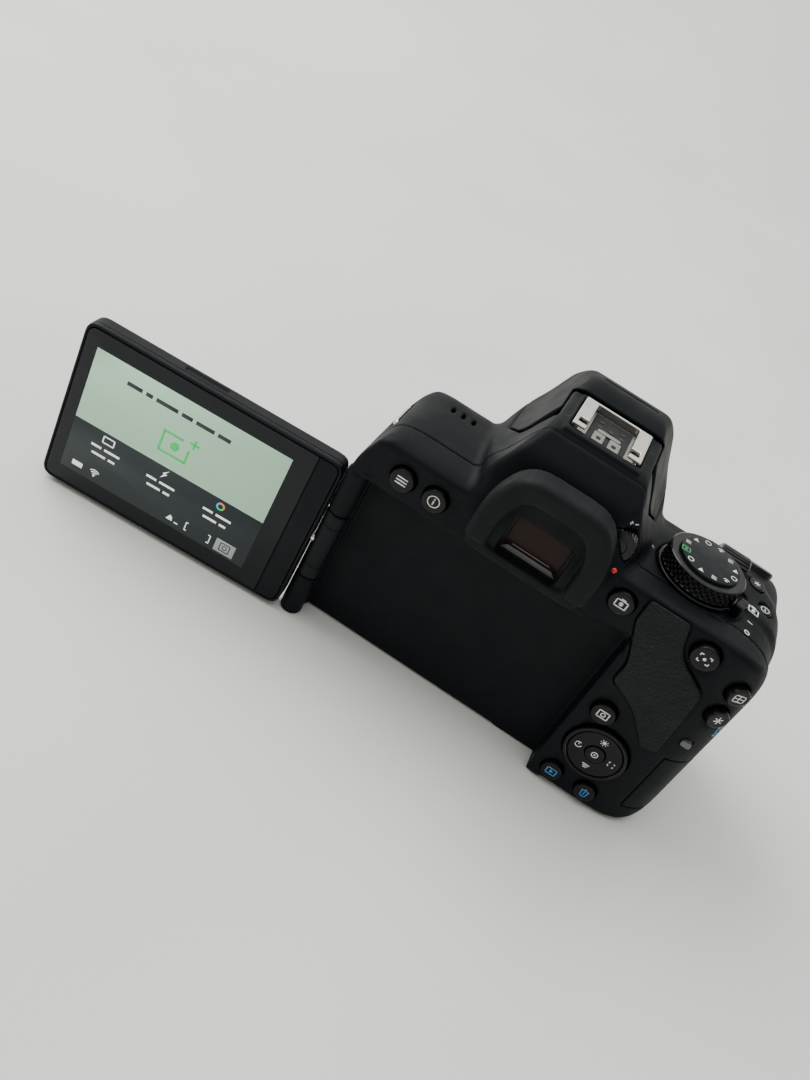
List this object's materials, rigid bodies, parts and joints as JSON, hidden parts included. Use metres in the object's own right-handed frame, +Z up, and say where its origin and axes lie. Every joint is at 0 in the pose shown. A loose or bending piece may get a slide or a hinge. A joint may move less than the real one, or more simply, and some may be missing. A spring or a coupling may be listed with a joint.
{
  "type": "dslr camera",
  "caption": "Single-lens reflex camera body with side-hinged tilting screen, pop-up flash, mode dial, hand grip and open lens mount.",
  "frame": {"origin": "on the base plane, under the lens axis, at the sensor plane", "axes": "+X towards the grip side, +Y forwards along the lens axis, +Z up"},
  "size_m": [0.2155, 0.0762, 0.1017],
  "materials": {
    "body_plastic": "fine-grained black moulded plastic",
    "rubber": "leather-grained black rubber",
    "control_plastic": "satin black moulded plastic with printed marks",
    "bright_metal": "plated steel",
    "dark_metal": "dark painted metal",
    "dial_metal": "dark anodised disc with printed marks",
    "optic_glass": "coated optical glass",
    "bezel_glass": "black gloss bezel",
    "display": "lit colour display under a clear cover",
    "circuit": "green circuit board",
    "mirror": "front-silvered mirror",
    "lamp": "clear moulded plastic",
    "battery_shell": "dark plastic battery shell"
  },
  "bodies": {
    "camera_body": {"front_cover": "body_plastic", "top_cover": "body_plastic", "rear_cover": "body_plastic", "bottom_cover": "body_plastic", "grip_rubber": "rubber", "thumb_rubber": "rubber", "mirror_box": "dark_metal", "lens_mount_ring": "bright_metal", "lens_contact_block": "control_plastic", "focusing_screen": "optic_glass", "pentamirror": "mirror", "eyepiece_lens": "optic_glass", "shutter_unit": "dark_metal", "image_sensor": "optic_glass", "main_board": "circuit", "battery": "battery_shell", "memory_card": "battery_shell", "tripod_socket": "bright_metal", "shoe_rails": "bright_metal", "shoe_insert": "control_plastic", "strap_lug_left": "bright_metal", "strap_lug_right": "bright_metal", "access_lamp": "lamp", "terminal_block": "dark_metal", "self_timer_lamp": "lamp"},
    "eyecup": {"eyecup": "rubber"},
    "diopter": {"diopter_wheel": "control_plastic"},
    "flash": {"flash_head": "body_plastic", "flash_window": "lamp"},
    "mode_dial": {"mode_dial": "control_plastic", "mode_dial_plate": "dial_metal"},
    "power_lever": {"power_lever": "control_plastic"},
    "front_dial": {"front_dial": "rubber"},
    "dial_ring": {"control_dial_ring": "control_plastic"},
    "four_way_pad": {"four_way_pad": "control_plastic"},
    "screen_arm": {"screen_hinge_block": "body_plastic", "screen_tilt_shaft": "dark_metal"},
    "screen": {"screen_case": "body_plastic", "screen_bezel": "bezel_glass", "screen_display": "display"},
    "battery_door": {"battery_door": "body_plastic"},
    "card_door": {"card_door": "body_plastic"},
    "terminal_cover_upper": {"terminal_cover_upper": "rubber"},
    "terminal_cover_lower": {"terminal_cover_lower": "rubber"},
    "lens_release": {"lens_release_button": "control_plastic"},
    "lens_lock": {"lens_lock_pin": "bright_metal"},
    "mirror": {"main_mirror": "mirror"},
    "menu_button": {"menu_button": "control_plastic"},
    "info_button": {"info_button": "control_plastic"},
    "live_view_button": {"live_view_button": "control_plastic"},
    "af_start_button": {"af_start_button": "control_plastic"},
    "quick_button": {"quick_button": "control_plastic"},
    "playback_button": {"playback_button": "control_plastic"},
    "erase_button": {"erase_button": "control_plastic"},
    "set_button": {"set_button": "control_plastic"},
    "focus_point_button": {"focus_point_button": "control_plastic"},
    "exposure_lock_button": {"exposure_lock_button": "control_plastic"},
    "shutter_button": {"shutter_button": "control_plastic"},
    "iso_button": {"iso_button": "control_plastic"},
    "display_button": {"display_button": "control_plastic"}
  },
  "joints": [
    {"name": "screen_swing", "type": "hinge", "parent": "camera_body", "child": "screen_arm", "pos_m": [-0.0529, -0.017, 0.0289], "axis": [0, 0, 1], "range_deg": [0, 175]},
    {"name": "screen_tilt", "type": "hinge", "parent": "screen_arm", "child": "screen", "pos_m": [-0.0529, -0.017, 0.0289], "axis": [-0.9962, -0.0872, 0], "range_deg": [-93.6, 176.4]},
    {"name": "flash_lift", "type": "hinge", "parent": "camera_body", "child": "flash", "pos_m": [0, 0.0082, 0.0875], "axis": [1, 0, 0], "range_deg": [0, 55]},
    {"name": "mode_dial_turn", "type": "hinge", "parent": "camera_body", "child": "mode_dial", "pos_m": [0.0424, 0.0018, 0.08], "axis": [0, 0, 1], "continuous": true},
    {"name": "power_lever_turn", "type": "hinge", "parent": "camera_body", "child": "power_lever", "pos_m": [0.0424, 0.0018, 0.0765], "axis": [0, 0, 1], "range_deg": [-19, 19]},
    {"name": "front_dial_turn", "type": "hinge", "parent": "camera_body", "child": "front_dial", "pos_m": [0.0514, 0.0215, 0.0724], "axis": [1, 0, 0], "continuous": true},
    {"name": "dial_ring_turn", "type": "hinge", "parent": "camera_body", "child": "dial_ring", "pos_m": [0.0481, -0.0199, 0.021], "axis": [0, 1, 0], "continuous": true},
    {"name": "diopter_turn", "type": "hinge", "parent": "camera_body", "child": "diopter", "pos_m": [0.0168, -0.015, 0.0815], "axis": [0, 1, 0], "range_deg": [-150, 150]},
    {"name": "eyecup_lift", "type": "slide", "parent": "camera_body", "child": "eyecup", "axis": [0, 0, 1], "range_m": [0, 0.02]},
    {"name": "battery_door_open", "type": "hinge", "parent": "camera_body", "child": "battery_door", "pos_m": [0.046, 0.0185, 0.0016], "axis": [0, 1, 0], "range_deg": [0, 90]},
    {"name": "card_door_open", "type": "hinge", "parent": "camera_body", "child": "card_door", "pos_m": [0.0742, 0.012, 0.02], "axis": [0, 0, 1], "range_deg": [0, 85]},
    {"name": "terminal_cover_upper_open", "type": "hinge", "parent": "camera_body", "child": "terminal_cover_upper", "pos_m": [-0.0552, 0.0102, 0.0465], "axis": [0, 0, -1], "range_deg": [0, 100]},
    {"name": "terminal_cover_lower_open", "type": "hinge", "parent": "camera_body", "child": "terminal_cover_lower", "pos_m": [-0.0552, 0.0102, 0.023], "axis": [0, 0, -1], "range_deg": [0, 100]},
    {"name": "lens_release_press", "type": "slide", "parent": "camera_body", "child": "lens_release", "axis": [0, -1, 0], "range_m": [0, 0.0025], "stiffness_N_per_m": 600},
    {"name": "lens_lock_retract", "type": "slide", "parent": "camera_body", "child": "lens_lock", "axis": [0, -1, 0], "range_m": [0, 0.0025]},
    {"name": "mirror_lift", "type": "hinge", "parent": "camera_body", "child": "mirror", "pos_m": [0, 0.0114, 0.0526], "axis": [1, 0, 0], "range_deg": [0, 45], "stiffness_Nm_per_rad": 0.004},
    {"name": "menu_press", "type": "slide", "parent": "camera_body", "child": "menu_button", "axis": [0, 1, 0], "range_m": [0, 0.0008], "stiffness_N_per_m": 500},
    {"name": "info_press", "type": "slide", "parent": "camera_body", "child": "info_button", "axis": [0, 1, 0], "range_m": [0, 0.0008], "stiffness_N_per_m": 500},
    {"name": "live_view_press", "type": "slide", "parent": "camera_body", "child": "live_view_button", "axis": [0, 1, 0], "range_m": [0, 0.0008], "stiffness_N_per_m": 500},
    {"name": "af_start_press", "type": "slide", "parent": "camera_body", "child": "af_start_button", "axis": [0, 1, 0], "range_m": [0, 0.0008], "stiffness_N_per_m": 500},
    {"name": "quick_press", "type": "slide", "parent": "camera_body", "child": "quick_button", "axis": [0, 1, 0], "range_m": [0, 0.0008], "stiffness_N_per_m": 500},
    {"name": "playback_press", "type": "slide", "parent": "camera_body", "child": "playback_button", "axis": [0, 1, 0], "range_m": [0, 0.0008], "stiffness_N_per_m": 500},
    {"name": "erase_press", "type": "slide", "parent": "camera_body", "child": "erase_button", "axis": [0, 1, 0], "range_m": [0, 0.0008], "stiffness_N_per_m": 500},
    {"name": "set_press", "type": "slide", "parent": "camera_body", "child": "set_button", "axis": [0, 1, 0], "range_m": [0, 0.0007], "stiffness_N_per_m": 500},
    {"name": "four_way_pad_press", "type": "slide", "parent": "camera_body", "child": "four_way_pad", "axis": [0, 1, 0], "range_m": [0, 0.0006], "stiffness_N_per_m": 500},
    {"name": "focus_point_press", "type": "slide", "parent": "camera_body", "child": "focus_point_button", "axis": [-0.4067, 0.9135, 0], "range_m": [0, 0.0008], "stiffness_N_per_m": 500},
    {"name": "exposure_lock_press", "type": "slide", "parent": "camera_body", "child": "exposure_lock_button", "axis": [-0.4067, 0.9135, 0], "range_m": [0, 0.0008], "stiffness_N_per_m": 500},
    {"name": "shutter_press", "type": "slide", "parent": "camera_body", "child": "shutter_button", "axis": [0, -0.4226, -0.9063], "range_m": [0, 0.001], "stiffness_N_per_m": 500},
    {"name": "iso_press", "type": "slide", "parent": "camera_body", "child": "iso_button", "axis": [0, 0, -1], "range_m": [0, 0.0006], "stiffness_N_per_m": 500},
    {"name": "display_press", "type": "slide", "parent": "camera_body", "child": "display_button", "axis": [0, 0, -1], "range_m": [0, 0.0006], "stiffness_N_per_m": 500}
  ],
  "couplings": [
    {"joint": "lens_lock_retract", "follows": "lens_release_press", "ratio": 1}
  ]
}
